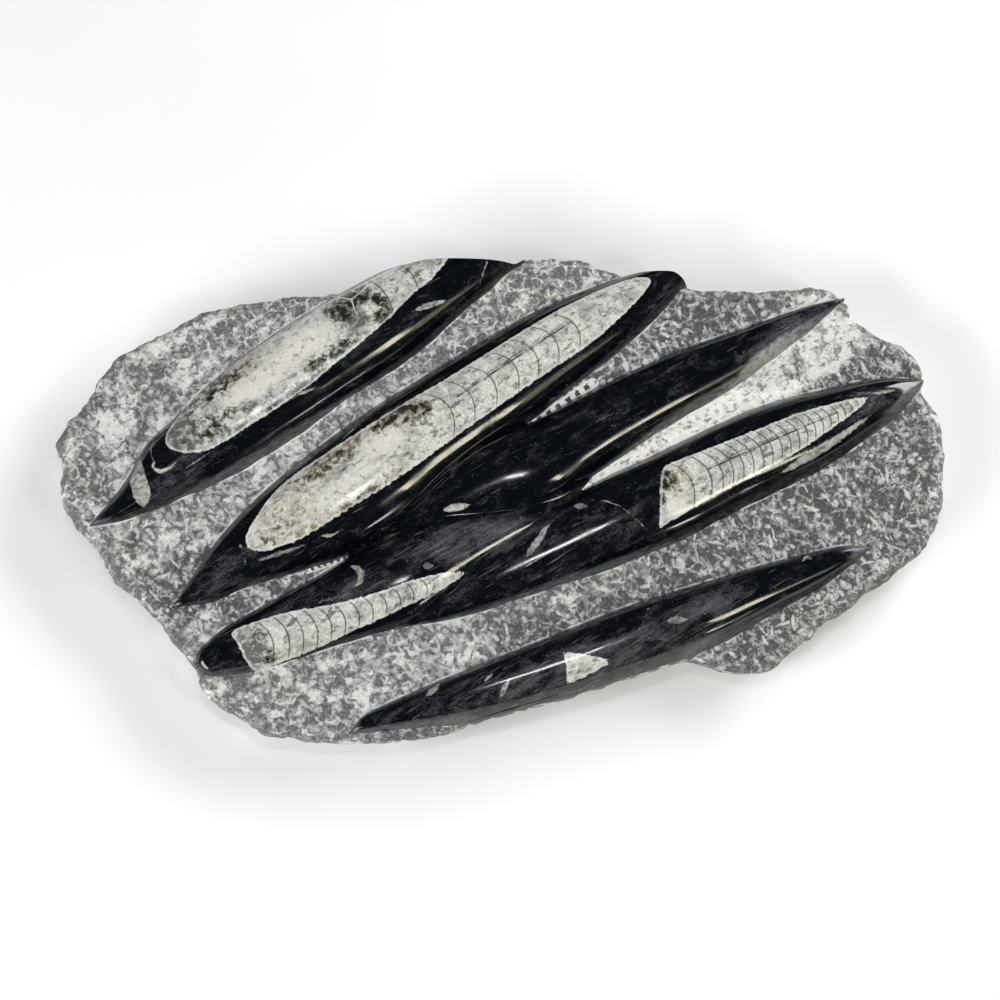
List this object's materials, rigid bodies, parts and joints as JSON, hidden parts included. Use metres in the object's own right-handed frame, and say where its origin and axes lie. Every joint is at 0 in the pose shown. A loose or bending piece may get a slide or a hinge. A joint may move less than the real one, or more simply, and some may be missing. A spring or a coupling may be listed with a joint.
{
  "type": "orthoceras fossil",
  "caption": "Slab of black fossil limestone with polished, pointed ridges around straight-shelled orthoceras, lying on its sawn back.",
  "frame": {"origin": "middle of the slab's footprint, on its sawn back", "axes": "+X along the slab's long side, +Y towards the edge that cuts two of the ridges, +Z out of the carved face"},
  "size_m": [0.324, 0.182, 0.0305],
  "materials": {
    "stone": "rough chiselled grey field, ridges polished black with pale shells, sawn back"
  },
  "bodies": {
    "root": {"fossil_slab": "stone"}
  },
  "joints": []
}
